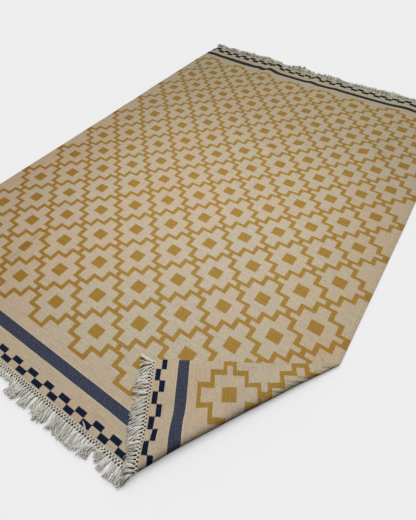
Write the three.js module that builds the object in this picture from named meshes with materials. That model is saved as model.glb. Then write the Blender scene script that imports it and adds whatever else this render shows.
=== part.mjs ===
// A flat-woven kilim lying face up on a level floor, with one corner turned over onto its face
// so that the back shows there. Millimetres, +Z up. X runs across the cloth, Y along it, and
// the turned corner is the one at +X, -Y. The origin is under the middle of the whole piece.
import * as THREE from "three";

// ---------------------------------------------------------------- driving dimensions
const CLOTH_WIDTH = 1680; // between the two selvedges
const CLOTH_LENGTH = 2400; // between the two woven ends
const CLOTH_THICKNESS = 3;
const LAYER_GAP = 2; // clear height between the cloth and the corner lying on it
const PIECE_GAP = 0.6; // between the cloth and each fringe

const FOLD_ALONG_END = 331; // how much of the near end is turned over
const FOLD_UP_SIDE = 590; // how much of the right selvedge is turned over
const SETTLE_RADIUS = 80; // curve by which the turned corner comes down onto the cloth
const ROLL_STEPS = 8; // flats round the roll of the fold
const SETTLE_STEPS = 4; // flats from the roll down to the cloth

const BAND_DEPTH = 9; // knotted warp ends beside the cloth
const TASSEL_PITCH = 30;
const TASSEL_ROOT = 19;
const TASSEL_TIP = 13;
const TASSEL_LENGTH = 48; // from the knots to the tips
const TASSEL_SPREAD = 7; // how much the lengths differ
const TASSEL_SWAY = 4; // how far a tip leans sideways

const SIDE_WAVE = 3; // unevenness of the selvedges
const NEAR_DRAW_IN = 9; // how much each selvedge draws in at the near end
const DRAW_IN_DEPTH = 700;
const NEAR_END_WAVE = 8; // unevenness of the near end
const NEAR_END_LONG = 6.5; // how far past the full length the near end lies
const FAR_DRAW_IN = 18; // how much each selvedge draws in at the far end
const FAR_DRAW_IN_DEPTH = 200;

const COLUMN_STEP = 84;
const END_ROW_STEP = 80; // near both ends, where the cloth is folded or rippled
const MIDDLE_ROW_STEP = 160;
const END_ROWS_DEPTH = 720;

// How far short of the full length the far end falls, at places across the cloth.
const FAR_END = [
  { across: -840, short: 2 },
  { across: -420, short: 4 },
  { across: -200, short: 23 },
  { across: 120, short: 31 },
  { across: 840, short: 28 },
];

// The roll of the fold is loose at the near end and tight at the selvedge: its radius at
// fractions of the way from one to the other.
const ROLL_RADII = [
  { along: 0.0, radius: 15 },
  { along: 0.2, radius: 18 },
  { along: 0.4, radius: 17 },
  { along: 0.7, radius: 13 },
  { along: 1.0, radius: 5 },
];

// Ripples that rise at the far end and die out towards the middle: place across the cloth,
// height at the end, half width on the -X side and on the +X side, and how far down the cloth
// each reaches.
const RIPPLES = [
  { across: -790, height: 6, left: 70, right: 70, reach: 260 },
  { across: -402, height: 4, left: 32, right: 26, reach: 560 },
  { across: -316, height: 13, left: 48, right: 75, reach: 620 },
  { across: -12, height: 8, left: 40, right: 50, reach: 300 },
  { across: 155, height: 5, left: 40, right: 50, reach: 260 },
  { across: 590, height: 8, left: 110, right: 80, reach: 320 },
  { across: 760, height: 6, left: 90, right: 70, reach: 420 },
];

const CLOTH_COLOUR = 0xbfae8c;
const FRINGE_COLOUR = 0xb3aea2;

// ---------------------------------------------------------------- sizes worked out from them
const HALF_WIDTH = CLOTH_WIDTH / 2;
const HALF_LENGTH = CLOTH_LENGTH / 2;
const FOLD_LENGTH = Math.hypot(FOLD_ALONG_END, FOLD_UP_SIDE);
const FOLD_START = { x: HALF_WIDTH - FOLD_ALONG_END, y: -HALF_LENGTH };
const FOLD_RUN = { x: FOLD_ALONG_END / FOLD_LENGTH, y: FOLD_UP_SIDE / FOLD_LENGTH };
const FOLD_OUT = { x: FOLD_RUN.y, y: -FOLD_RUN.x }; // square to the fold, towards the corner
const TURNED_HEIGHT = 1.5 * CLOTH_THICKNESS + LAYER_GAP; // middle of the corner's own thickness
const LAST_LEVEL = ROLL_STEPS + SETTLE_STEPS;

// ---------------------------------------------------------------- how the cloth lies
// A table's value at a place between its rows, passing straight or softly from each to the next.
function betweenRows(rows, key, value, place, soften = (part) => part) {
  if (place <= rows[0][key]) return rows[0][value];
  for (let i = 1; i < rows.length; i += 1) {
    const from = rows[i - 1];
    const to = rows[i];
    if (place <= to[key]) {
      const part = soften((place - from[key]) / (to[key] - from[key]));
      return from[value] + (to[value] - from[value]) * part;
    }
  }
  return rows[rows.length - 1][value];
}

const softly = (part) => part * part * (3 - 2 * part);

// The fold's section at one place along it: the cloth leaves the floor at start, goes half way
// round the roll, then comes down by two equal arcs, curved one way and then the other.
function foldSection(along) {
  const radius = betweenRows(ROLL_RADII, "along", "radius", along, softly);
  const drop = CLOTH_THICKNESS / 2 + 2 * radius - TURNED_HEIGHT;
  const turn = Math.acos(1 - drop / (2 * SETTLE_RADIUS));
  const rollLength = Math.PI * radius;
  const settleLength = 2 * SETTLE_RADIUS * turn;
  const settleReach = 2 * SETTLE_RADIUS * Math.sin(turn);
  const start = -(rollLength + settleLength - settleReach) / 2;
  return { radius, turn, rollLength, settleLength, settleReach, start };
}

// Where a point of the flat pattern is from the fold: along it, and past its start.
function foldPlace(x, y) {
  const dx = x - FOLD_START.x;
  const dy = y - FOLD_START.y;
  const run = dx * FOLD_RUN.x + dy * FOLD_RUN.y;
  const section = foldSection(run / FOLD_LENGTH);
  const past = dx * FOLD_OUT.x + dy * FOLD_OUT.y - section.start;
  return { run, past, section };
}

// 0 where the roll starts, ROLL_STEPS where it ends, LAST_LEVEL where the corner lies flat.
function foldLevel(x, y) {
  const { past, section } = foldPlace(x, y);
  if (past < 0) return past / SETTLE_RADIUS;
  if (past < section.rollLength) return (ROLL_STEPS * past) / section.rollLength;
  const settling = past - section.rollLength;
  if (settling < section.settleLength) {
    return ROLL_STEPS + (SETTLE_STEPS * settling) / section.settleLength;
  }
  return LAST_LEVEL + (settling - section.settleLength) / SETTLE_RADIUS;
}

function rippleHeight(x, y) {
  let height = 0;
  for (const ripple of RIPPLES) {
    const halfWidth = x < ripple.across ? ripple.left : ripple.right;
    const sideways = Math.abs(x - ripple.across) / halfWidth;
    const inward = Math.max(0, HALF_LENGTH - y) / ripple.reach;
    const outward = Math.max(0, y - HALF_LENGTH) / (BAND_DEPTH + TASSEL_LENGTH);
    if (sideways >= 1 || inward >= 1 || outward >= 1) continue;
    const crossShape = (1 + Math.cos(Math.PI * sideways)) / 2;
    const lengthShape = (1 + Math.cos(Math.PI * Math.max(inward, outward))) / 2;
    height += ripple.height * crossShape * lengthShape;
  }
  return height;
}

// Section coordinates at a distance past the fold's start: out from the start, height of the
// cloth's middle above the middle of the flat cloth, and the direction of the face's normal.
function sectionPoint(past, section) {
  const { radius, turn, rollLength, settleLength, settleReach } = section;
  if (past <= rollLength) {
    const angle = past / radius;
    const out = radius * Math.sin(angle);
    const up = radius * (1 - Math.cos(angle));
    return { out, up, normalOut: -Math.sin(angle), normalUp: Math.cos(angle) };
  }
  const settling = past - rollLength;
  const half = settleLength / 2;
  const low = TURNED_HEIGHT - CLOTH_THICKNESS / 2;
  if (settling >= settleLength) {
    return { out: -settleReach - (settling - settleLength), up: low, normalOut: 0, normalUp: -1 };
  }
  const falling = settling < half;
  const angle = (falling ? settling : settleLength - settling) / SETTLE_RADIUS;
  const span = SETTLE_RADIUS * Math.sin(angle);
  const dip = SETTLE_RADIUS * (1 - Math.cos(angle));
  return {
    out: falling ? -span : span - settleReach,
    up: falling ? 2 * radius - dip : low + dip,
    normalOut: Math.sin(angle),
    normalUp: -Math.cos(angle),
  };
}

// A point of the flat pattern as it lies: the middle of the thickness and the face's normal.
function lay(x, y) {
  const { run, past, section } = foldPlace(x, y);
  const middle = CLOTH_THICKNESS / 2;
  if (past <= 0) {
    return {
      point: new THREE.Vector3(x, y, middle + rippleHeight(x, y)),
      normal: new THREE.Vector3(0, 0, 1),
    };
  }
  const place = sectionPoint(past, section);
  const out = section.start + place.out;
  return {
    point: new THREE.Vector3(
      FOLD_START.x + run * FOLD_RUN.x + out * FOLD_OUT.x,
      FOLD_START.y + run * FOLD_RUN.y + out * FOLD_OUT.y,
      middle + place.up,
    ),
    normal: new THREE.Vector3(
      place.normalOut * FOLD_OUT.x,
      place.normalOut * FOLD_OUT.y,
      place.normalUp,
    ),
  };
}

// ---------------------------------------------------------------- the flat pattern
// The hand-made edges are not quite straight: a point keeps its place in the middle of the
// cloth and moves with the nearest edge.
function uneven(x, y) {
  const sideShare = (x / HALF_WIDTH) ** 3;
  const endShare = (y / HALF_LENGTH) ** 3;
  const drawn = Math.max(0, 1 - (y + HALF_LENGTH) / DRAW_IN_DEPTH) ** 2;
  const farDrawn = Math.min(1, Math.max(0, 1 - (HALF_LENGTH - y) / FAR_DRAW_IN_DEPTH)) ** 2;
  const sideWave =
    SIDE_WAVE * Math.sin((2.3 * Math.PI * y) / CLOTH_LENGTH + Math.sign(x)) -
    NEAR_DRAW_IN * drawn -
    FAR_DRAW_IN * farDrawn;
  const nearWave = NEAR_END_LONG - NEAR_END_WAVE * Math.sin((Math.PI * (x - 100)) / 900);
  const farWave = -betweenRows(FAR_END, "across", "short", x);
  const endWave = y < 0 ? nearWave : farWave;
  return { x: x + sideShare * sideWave, y: y + endShare * endWave };
}

function steps(from, to, pitch) {
  const count = Math.max(1, Math.round((to - from) / pitch));
  return Array.from({ length: count }, (_, i) => from + ((to - from) * i) / count);
}

// Lines along the cloth, where each is clear of those before it: through the corners of the far
// end, through each ripple, and then even ones.
function clothColumns() {
  const closest = 16;
  const lines = FAR_END.map((row) => row.across);
  const more = [];
  for (const share of [0, 0.5, 1]) {
    for (const ripple of RIPPLES) {
      more.push(ripple.across - share * ripple.left, ripple.across + share * ripple.right);
    }
  }
  for (const line of [...more, ...steps(-HALF_WIDTH, HALF_WIDTH, COLUMN_STEP)]) {
    const inside = Math.abs(line) < HALF_WIDTH;
    if (inside && lines.every((other) => Math.abs(line - other) > closest)) lines.push(line);
  }
  return lines.sort((a, b) => a - b);
}

function clothRows() {
  const nearMiddle = -HALF_LENGTH + END_ROWS_DEPTH;
  const farMiddle = HALF_LENGTH - END_ROWS_DEPTH;
  return [
    ...steps(-HALF_LENGTH, nearMiddle, END_ROW_STEP),
    ...steps(nearMiddle, farMiddle, MIDDLE_ROW_STEP),
    ...steps(farMiddle, HALF_LENGTH, END_ROW_STEP),
    HALF_LENGTH,
  ];
}

function clothCells() {
  const columns = clothColumns();
  const rows = clothRows();
  const cells = [];
  for (let i = 0; i + 1 < columns.length; i += 1) {
    for (let j = 0; j + 1 < rows.length; j += 1) {
      cells.push([
        uneven(columns[i], rows[j]),
        uneven(columns[i + 1], rows[j]),
        uneven(columns[i + 1], rows[j + 1]),
        uneven(columns[i], rows[j + 1]),
      ]);
    }
  }
  return cells;
}

// One fringe as a comb: a band of knots along the end, and a tooth for each group of tassels.
// end is -1 for the near end and +1 for the far one.
function fringeCells(end) {
  const cells = [];
  const inner = end * (HALF_LENGTH + PIECE_GAP);
  const knots = end * (HALF_LENGTH + PIECE_GAP + BAND_DEPTH);
  const count = Math.round(CLOTH_WIDTH / TASSEL_PITCH);
  const pitch = CLOTH_WIDTH / count;
  const addCell = (left, right, from, to, tipLeft, tipRight) => {
    const corners = [
      uneven(left, from),
      uneven(right, from),
      uneven(tipRight, to),
      uneven(tipLeft, to),
    ];
    cells.push(end > 0 ? corners : corners.reverse());
  };
  for (let i = 0; i < count; i += 1) {
    const left = -HALF_WIDTH + i * pitch;
    const rootLeft = left + (pitch - TASSEL_ROOT) / 2;
    const rootRight = rootLeft + TASSEL_ROOT;
    for (const [from, to] of [
      [left, rootLeft],
      [rootLeft, rootRight],
      [rootRight, left + pitch],
    ]) {
      addCell(from, to, inner, knots, from, to);
    }
    const length = TASSEL_LENGTH + TASSEL_SPREAD * Math.sin(i * 2.4 + end) * Math.cos(i * 0.7);
    const tipMiddle = (rootLeft + rootRight) / 2 + TASSEL_SWAY * Math.sin(i * 1.1 + 2 * end);
    const tip = knots + end * length;
    addCell(rootLeft, rootRight, knots, tip, tipMiddle - TASSEL_TIP / 2, tipMiddle + TASSEL_TIP / 2);
  }
  return cells;
}

// ---------------------------------------------------------------- from pattern to solid
// Where the line of one fold level crosses an edge, found from the same end whichever cell asks.
function crossing(a, b, level) {
  const swap = a.x > b.x || (a.x === b.x && a.y > b.y);
  let low = swap ? b : a;
  let high = swap ? a : b;
  const lowSide = foldLevel(low.x, low.y) < level;
  for (let i = 0; i < 40; i += 1) {
    const middle = { x: (low.x + high.x) / 2, y: (low.y + high.y) / 2 };
    if (foldLevel(middle.x, middle.y) < level === lowSide) low = middle;
    else high = middle;
  }
  return { x: (low.x + high.x) / 2, y: (low.y + high.y) / 2 };
}

// Cuts a cell in two along a line of the fold, so that no flat facet runs across it.
function splitCell(cell, level) {
  const onLine = 0.06;
  const before = [];
  const after = [];
  const sides = cell.map((corner) => {
    const side = foldLevel(corner.x, corner.y) - level;
    return Math.abs(side) < onLine ? 0 : side;
  });
  cell.forEach((corner, i) => {
    const next = (i + 1) % cell.length;
    if (sides[i] <= 0) before.push(corner);
    if (sides[i] >= 0) after.push(corner);
    if (sides[i] * sides[next] < 0) {
      const cut = crossing(corner, cell[next], level);
      before.push(cut);
      after.push(cut);
    }
  });
  const reaches = (sign) => sides.some((side) => side * sign > 0);
  return [
    ...(reaches(-1) ? [before] : []),
    ...(reaches(1) ? [after] : []),
    ...(reaches(-1) || reaches(1) ? [] : [cell]),
  ];
}

function splitAtFold(cells) {
  let parts = cells;
  for (let level = 0; level <= LAST_LEVEL; level += 1) {
    parts = parts.flatMap((cell) => splitCell(cell, level));
  }
  return parts;
}

// Gives flat cells their thickness where they lie, and closes the sheet all round its rim.
function sheetSolid(cells) {
  const places = new Map();
  const layers = { face: [], back: [] };
  const vertexOf = (corner) => {
    const key = `${corner.x.toFixed(4)},${corner.y.toFixed(4)}`;
    if (!places.has(key)) {
      places.set(key, places.size);
      const { point, normal } = lay(corner.x, corner.y);
      layers.face.push(point.clone().addScaledVector(normal, CLOTH_THICKNESS / 2));
      layers.back.push(point.clone().addScaledVector(normal, -CLOTH_THICKNESS / 2));
    }
    return places.get(key);
  };
  const polygons = splitAtFold(cells).map((cell) => cell.map(vertexOf));
  const backStart = layers.face.length;
  const triangles = [];
  const edges = new Map();
  for (const polygon of polygons) {
    for (let i = 1; i + 1 < polygon.length; i += 1) {
      const [a, b, c] = [polygon[0], polygon[i], polygon[i + 1]];
      triangles.push([a, b, c], [backStart + a, backStart + c, backStart + b]);
    }
    polygon.forEach((from, i) => {
      const to = polygon[(i + 1) % polygon.length];
      if (edges.has(`${to},${from}`)) edges.delete(`${to},${from}`);
      else edges.set(`${from},${to}`, [from, to]);
    });
  }
  for (const [from, to] of edges.values()) {
    triangles.push([from, backStart + from, backStart + to], [from, backStart + to, to]);
  }
  const geometry = new THREE.BufferGeometry();
  geometry.setFromPoints([...layers.face, ...layers.back]);
  geometry.setIndex(triangles.flat());
  geometry.computeVertexNormals();
  return geometry;
}

// ---------------------------------------------------------------- the pieces
function piece(name, cells, color) {
  const material = new THREE.MeshStandardMaterial({ color, roughness: 0.95, metalness: 0 });
  const mesh = new THREE.Mesh(sheetSolid(cells), material);
  mesh.name = name;
  return mesh;
}

const kilim = new THREE.Group();
kilim.add(piece("kilim_cloth", clothCells(), CLOTH_COLOUR));
kilim.add(piece("fringe_near", fringeCells(-1), FRINGE_COLOUR));
kilim.add(piece("fringe_far", fringeCells(1), FRINGE_COLOUR));

// The origin is under the middle of the box that holds the whole piece.
const box = new THREE.Box3().setFromObject(kilim);
const middle = box.getCenter(new THREE.Vector3());
kilim.position.set(-middle.x, -middle.y, -box.min.z);

export default kilim;
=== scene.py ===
import math

import bpy
import numpy as np
from mathutils import Matrix, Vector
from mathutils.geometry import delaunay_2d_cdt


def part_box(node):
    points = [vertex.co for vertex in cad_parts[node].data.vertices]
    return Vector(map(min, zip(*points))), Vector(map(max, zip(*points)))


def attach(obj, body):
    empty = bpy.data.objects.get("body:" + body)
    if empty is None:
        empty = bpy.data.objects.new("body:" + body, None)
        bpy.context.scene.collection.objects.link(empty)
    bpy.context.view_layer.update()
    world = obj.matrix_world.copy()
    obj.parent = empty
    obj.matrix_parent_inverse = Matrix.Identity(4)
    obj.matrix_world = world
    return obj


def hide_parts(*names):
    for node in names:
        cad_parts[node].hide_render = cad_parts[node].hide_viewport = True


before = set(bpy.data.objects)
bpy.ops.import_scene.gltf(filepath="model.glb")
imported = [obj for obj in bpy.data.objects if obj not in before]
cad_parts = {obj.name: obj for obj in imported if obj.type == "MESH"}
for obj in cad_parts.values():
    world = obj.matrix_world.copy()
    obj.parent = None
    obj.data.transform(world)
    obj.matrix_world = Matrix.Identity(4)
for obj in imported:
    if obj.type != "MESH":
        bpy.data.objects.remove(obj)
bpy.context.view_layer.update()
rng = np.random.default_rng(7)


def table(columns, rows):
    """A table's rows as dictionaries, from the names of its columns."""
    names = columns.split()
    return [dict(zip(names, row)) for row in rows]


def values_of(rows, column):
    return np.array([row[column] for row in rows])


# ---------------------------------------------------------------- the cloth's sizes
CLOTH_WIDTH = 1.680
CLOTH_LENGTH = 2.400
CLOTH_THICKNESS = 0.003
LAYER_GAP = 0.001  # clear height between the cloth and the corner lying on it
EDGE_SLOPE = 0.004  # how wide the step from the floor onto the cloth is to what lies on it

FOLD_ALONG_END = 0.331  # how much of the near end is turned over
FOLD_UP_SIDE = 0.590  # how much of the right selvedge is turned over
SETTLE_RADIUS = 0.080  # curve by which the turned corner comes down onto the cloth

SIDE_WAVE = 0.003  # unevenness of the selvedges
SIDE_HALF_WAVES = 2.3  # along each of them
NEAR_DRAW_IN = 0.009  # how much each selvedge draws in at the near end
DRAW_IN_DEPTH = 0.700  # and how far up from that end
NEAR_END_WAVE = 0.008  # unevenness of the near end
NEAR_WAVE_START = 0.1
NEAR_HALF_WAVE = 0.9
NEAR_END_LONG = 0.0065  # how far past the full length the near end lies
FAR_DRAW_IN = 0.018  # how much each selvedge draws in at the far end
FAR_DRAW_IN_DEPTH = 0.200
FAR_END = table("across short", [  # how far short of the full length the far end falls
    (-0.84, 0.002),
    (-0.42, 0.004),
    (-0.20, 0.023),
    (0.12, 0.031),
    (0.84, 0.028),
])
FRINGE_REACH = 0.057  # how far past the far end its ripples fade out

# The roll of the fold is loose at the near end and tight at the selvedge.
ROLL_RADII = table("along radius", [
    (0.0, 0.015),
    (0.2, 0.018),
    (0.4, 0.017),
    (0.7, 0.013),
    (1.0, 0.005),
])

# Ripples that rise at the far end and die out towards the middle, as in the CAD part. Each has
# a half-width on its -X side and one on its +X side.
RIPPLES = table("across height left right reach", [
    (-0.790, 0.006, 0.070, 0.070, 0.260),
    (-0.402, 0.004, 0.032, 0.026, 0.560),
    (-0.316, 0.013, 0.048, 0.075, 0.620),
    (-0.012, 0.008, 0.040, 0.050, 0.300),
    (0.155, 0.005, 0.040, 0.050, 0.260),
    (0.590, 0.008, 0.110, 0.080, 0.320),
    (0.760, 0.006, 0.090, 0.070, 0.420),
])

# Soft swells where the cloth doesn't lie quite flat on the floor, and soft creases and puckers.
# Each has its own reach on its -X and +X sides and to its near and far sides.
SWELLS = table("across along left right near far height", [
    (0.10, -0.20, 0.60, 0.60, 0.20, 0.20, 0.002),
    (-0.58, 0.53, 0.36, 0.36, 0.26, 0.26, 0.006),
    (0.52, 0.30, 0.30, 0.30, 0.20, 0.20, 0.003),
    (-0.45, -0.62, 0.34, 0.34, 0.17, 0.17, 0.003),
])
CREASES = table("across along left right near far height", [
    (-0.388, -0.800, 0.036, 0.045, 0.170, 0.150, 0.014),
    (0.557, 0.552, 0.062, 0.090, 0.140, 0.120, 0.012),
    (-0.574, 0.287, 0.155, 0.155, 0.085, 0.060, 0.012),
    (-0.092, 0.290, 0.060, 0.055, 0.070, 0.050, 0.010),
    (0.107, 0.290, 0.060, 0.055, 0.070, 0.050, 0.010),
    (0.243, 0.405, 0.042, 0.030, 0.050, 0.055, 0.009),
    (0.095, 0.530, 0.050, 0.060, 0.060, 0.050, 0.007),
    (-0.235, 0.425, 0.050, 0.070, 0.060, 0.060, 0.004),
    (-0.345, 0.530, 0.070, 0.075, 0.100, 0.100, 0.007),
    (-0.765, 0.740, 0.070, 0.060, 0.100, 0.100, 0.009),
])

# Gentle unevenness everywhere: length of the wave, its heading, its height and where it starts.
UNDULATIONS = table("length heading height phase", [
    (0.47, 20, 0.0012, 0.4),
    (0.31, 76, 0.0010, 2.1),
    (0.19, 131, 0.0006, 4.0),
])

HALF_WIDTH = CLOTH_WIDTH / 2
HALF_LENGTH = CLOTH_LENGTH / 2
FOLD_LENGTH = math.hypot(FOLD_ALONG_END, FOLD_UP_SIDE)
FOLD_START = np.array([HALF_WIDTH - FOLD_ALONG_END, -HALF_LENGTH])
FOLD_RUN = np.array([FOLD_ALONG_END, FOLD_UP_SIDE]) / FOLD_LENGTH
FOLD_OUT = np.array([FOLD_RUN[1], -FOLD_RUN[0]])  # square to the fold, towards the corner
TURNED_HEIGHT = 1.5 * CLOTH_THICKNESS + LAYER_GAP  # middle of the corner's own thickness


def bell(distance):
    """1 at no distance, falling softly to 0 at a distance of 1 or more."""
    return (1 + np.cos(np.pi * np.clip(np.abs(distance), 0, 1))) / 2


def between_rows(rows, key, value, place):
    """A table's value at a place between its rows, passing softly from each to the next."""
    stations = values_of(rows, key)
    values = values_of(rows, value)
    position = np.interp(place, stations, np.arange(len(rows)))
    low = np.minimum(position.astype(int), len(rows) - 2)
    part = position - low
    eased = part * part * (3 - 2 * part)
    return values[low] + (values[low + 1] - values[low]) * eased


# ---------------------------------------------------------------- how the cloth lies
def uneven(x, y):
    """Moves points of the straight-edged pattern so that its edges are hand-made."""
    side_share = (x / HALF_WIDTH) ** 3
    end_share = (y / HALF_LENGTH) ** 3
    near_drawn = np.maximum(0, 1 - (y + HALF_LENGTH) / DRAW_IN_DEPTH) ** 2
    far_drawn = np.clip(1 - (HALF_LENGTH - y) / FAR_DRAW_IN_DEPTH, 0, 1) ** 2
    side_wave = SIDE_WAVE * np.sin(SIDE_HALF_WAVES * np.pi * y / CLOTH_LENGTH + np.sign(x))
    side_wave = side_wave - NEAR_DRAW_IN * near_drawn - FAR_DRAW_IN * far_drawn
    near_turn = np.pi * (x - NEAR_WAVE_START) / NEAR_HALF_WAVE
    near_wave = NEAR_END_LONG - NEAR_END_WAVE * np.sin(near_turn)
    far_wave = -np.interp(x, values_of(FAR_END, "across"), values_of(FAR_END, "short"))
    end_wave = np.where(y < 0, near_wave, far_wave)
    return x + side_share * side_wave, y + end_share * end_wave


def straightened(x, y):
    """The point of the straight-edged pattern that uneven() moves to x, y."""
    straight_x, straight_y = x, y
    for _ in range(4):
        moved_x, moved_y = uneven(straight_x, straight_y)
        straight_x = straight_x + x - moved_x
        straight_y = straight_y + y - moved_y
    return straight_x, straight_y


def share_of_reach(offset, below, above):
    """An offset as a share of the reach on its own side."""
    return offset / np.where(offset < 0, below, above)


def raised(x, y):
    """How far ripples, swells, creases and undulations lift the cloth off the floor at a place."""
    height = np.zeros(np.shape(x))
    for ripple in RIPPLES:
        inward = np.maximum(0, HALF_LENGTH - y) / ripple["reach"]
        outward = np.maximum(0, y - HALF_LENGTH) / FRINGE_REACH
        sideways = share_of_reach(x - ripple["across"], ripple["left"], ripple["right"])
        height += ripple["height"] * bell(sideways) * bell(np.maximum(inward, outward))
    for swell in SWELLS + CREASES:
        sideways = share_of_reach(x - swell["across"], swell["left"], swell["right"])
        lengthways = share_of_reach(y - swell["along"], swell["near"], swell["far"])
        height += swell["height"] * bell(sideways) * bell(lengthways)
    for wave in UNDULATIONS:
        heading = math.radians(wave["heading"])
        travel = x * math.cos(heading) + y * math.sin(heading)
        turn = 2 * np.pi * travel / wave["length"] + wave["phase"]
        height += wave["height"] * (1 + np.sin(turn)) / 2
    return height


def fold_section(run):
    """The fold's section at distances along it: its radius, the lengths of cloth in the roll and
    in the curve down from it, how far back that curve reaches, and where the roll starts."""
    radius = between_rows(ROLL_RADII, "along", "radius", run / FOLD_LENGTH)
    drop = CLOTH_THICKNESS / 2 + 2 * radius - TURNED_HEIGHT
    turn = np.arccos(1 - drop / (2 * SETTLE_RADIUS))
    roll = np.pi * radius
    settle = 2 * SETTLE_RADIUS * turn
    reach = 2 * SETTLE_RADIUS * np.sin(turn)
    start = -(roll + settle - reach) / 2
    return radius, roll, settle, reach, start


def to_fold(x, y):
    """How far places are along the line of the fold, and how far out from it."""
    dx, dy = x - FOLD_START[0], y - FOLD_START[1]
    return dx * FOLD_RUN[0] + dy * FOLD_RUN[1], dx * FOLD_OUT[0] + dy * FOLD_OUT[1]


def from_fold(run, out):
    """The x and y of places so far along the line of the fold, and so far out from it."""
    return [FOLD_START[i] + run * FOLD_RUN[i] + out * FOLD_OUT[i] for i in range(2)]


def past_fold(x, y):
    """How far points of the pattern are past the start of the roll, and the lengths of cloth in
    the roll and in the curve down from it."""
    run, out = to_fold(x, y)
    _, roll, settle, _, start = fold_section(run)
    return out - start, roll, settle


def lay(x, y):
    """Where points of the pattern lie: the middle of the cloth's thickness, as rows of points."""
    run, out = to_fold(x, y)
    radius, roll, settle, reach, start = fold_section(run)
    past = out - start
    angle = np.clip(past, 0, roll) / radius
    settling = np.clip(past - roll, 0, settle)
    falling = settling < settle / 2
    arc = np.where(falling, settling, settle - settling) / SETTLE_RADIUS
    span = SETTLE_RADIUS * np.sin(arc)
    dip = SETTLE_RADIUS * (1 - np.cos(arc))
    low = TURNED_HEIGHT - CLOTH_THICKNESS / 2
    settled_out = np.where(falling, -span, span - reach) - np.maximum(past - roll - settle, 0)
    settled_up = np.where(falling, 2 * radius - dip, low + dip)
    turned = past > roll
    laid_out = np.where(turned, settled_out, radius * np.sin(angle))
    laid_up = np.where(turned, settled_up, radius * (1 - np.cos(angle)))
    laid_out = start + np.where(past <= 0, past, laid_out)
    laid_x, laid_y = from_fold(run, laid_out)
    laid_z = CLOTH_THICKNESS / 2 + laid_up + raised(laid_x, laid_y)
    return np.stack([laid_x, laid_y, laid_z], -1)


def unit(vectors):
    return vectors / np.linalg.norm(vectors, axis=-1, keepdims=True)


def lay_directions(x, y):
    """The directions across, along and off the face of the cloth where points of it lie."""
    step = 0.0005
    across = unit(lay(x + step, y) - lay(x - step, y))
    off_face = unit(np.cross(across, lay(x, y + step) - lay(x, y - step)))
    return across, np.cross(off_face, across), off_face


def support(x, y):
    """Height of what lies under a place: the cloth's face, or the floor outside the cloth."""
    straight_x, straight_y = straightened(x, y)
    past, _, _ = past_fold(x, y)
    inside = np.minimum(HALF_WIDTH - np.abs(straight_x), HALF_LENGTH - np.abs(straight_y))
    inside = np.minimum(inside, -past)
    on_cloth = np.clip(inside / EDGE_SLOPE + 0.5, 0, 1)
    return on_cloth * (CLOTH_THICKNESS + raised(x, y))


def frame_shift():
    """From the pattern's origin to the frame's: the laid cloth matches its CAD solid."""
    low, high = (np.array(corner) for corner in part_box("kilim_cloth"))
    x, y = np.meshgrid(np.linspace(-HALF_WIDTH, HALF_WIDTH, 400), [-HALF_LENGTH, HALF_LENGTH])
    ends = lay(*uneven(x.ravel(), y.ravel()))
    middle_y = (ends[:, 1].min() + ends[:, 1].max()) / 2
    return np.array([(low[0] + high[0]) / 2, (low[1] + high[1]) / 2 - middle_y, 0.0])


SHIFT = frame_shift()

# ---------------------------------------------------------------- nodes written as formulas
def add_node(tree, kind, inputs, **settings):
    """Adds a shader node. Each of its inputs is a Signal, a socket, a colour or a number."""
    node = tree.nodes.new("ShaderNode" + kind)
    for name, setting in settings.items():
        setattr(node, name, setting)
    for key, value in inputs.items():
        if isinstance(value, Signal):
            value = value.socket
        if isinstance(value, bpy.types.NodeSocket):
            tree.links.new(value, node.inputs[key])
        elif isinstance(value, tuple):
            node.inputs[key].default_value = (*value, 1.0)
        else:
            node.inputs[key].default_value = value
    return node


def joined_by(operation):
    """A method of Signal: one math node, with another Signal or a number."""
    return lambda self, other: self.math(operation, other)


class Signal:
    """A number worked out by shader nodes, so that a pattern reads as a formula."""

    __add__ = joined_by("ADD")
    __sub__ = joined_by("SUBTRACT")
    __mul__ = joined_by("MULTIPLY")
    __truediv__ = joined_by("DIVIDE")
    __lt__ = joined_by("LESS_THAN")
    __gt__ = joined_by("GREATER_THAN")
    __or__ = joined_by("MAXIMUM")
    __and__ = joined_by("MULTIPLY")

    def __init__(self, tree, socket):
        self.tree = tree
        self.socket = socket

    def math(self, operation, *others):
        inputs = dict(enumerate((self, *others)))
        node = add_node(self.tree, "Math", inputs, operation=operation)
        return Signal(self.tree, node.outputs[0])

    def __abs__(self):
        return self.math("ABSOLUTE")

    def between(self, low, high):
        return (self > low) & (self < high)

    def to_nearest(self, spacing):
        """How far it is from the nearest whole multiple of a spacing."""
        return self.math("PINGPONG", spacing / 2)

    def ease(self, low, high):
        """0 up to low, 1 from high on, and soft between."""
        part = self.fade(low, high)
        return part * part * (part * -2.0 + 3.0)

    def fade(self, low, high):
        """0 up to low, 1 from high on, and straight between."""
        inputs = {"Value": self, "From Min": low, "From Max": high}
        return Signal(self.tree, add_node(self.tree, "MapRange", inputs).outputs["Result"])


def noise(x, y, x_scale, y_scale, seed, detail=2.0):
    """Soft noise round 0.5 over two coordinates, in cycles per metre each way."""
    place = add_node(x.tree, "CombineXYZ", {"X": x * x_scale, "Y": y * y_scale, "Z": seed})
    inputs = {"Vector": place.outputs[0], "Scale": 1.0, "Detail": detail}
    return Signal(x.tree, add_node(x.tree, "TexNoise", inputs).outputs["Fac"])


def mix_colour(amount, first, second, blend="MIX"):
    """Mixes two colours, each a socket or an (r, g, b), by a Signal."""
    inputs = {0: amount, 6: first, 7: second}
    node = add_node(amount.tree, "Mix", inputs, data_type="RGBA", blend_type=blend)
    return node.outputs[2]


def shade_by(colour, amount):
    """A colour made lighter or darker by a Signal round 1."""
    inputs = {0: colour, "Scale": amount}
    return add_node(amount.tree, "VectorMath", inputs, operation="SCALE").outputs[0]


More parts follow.
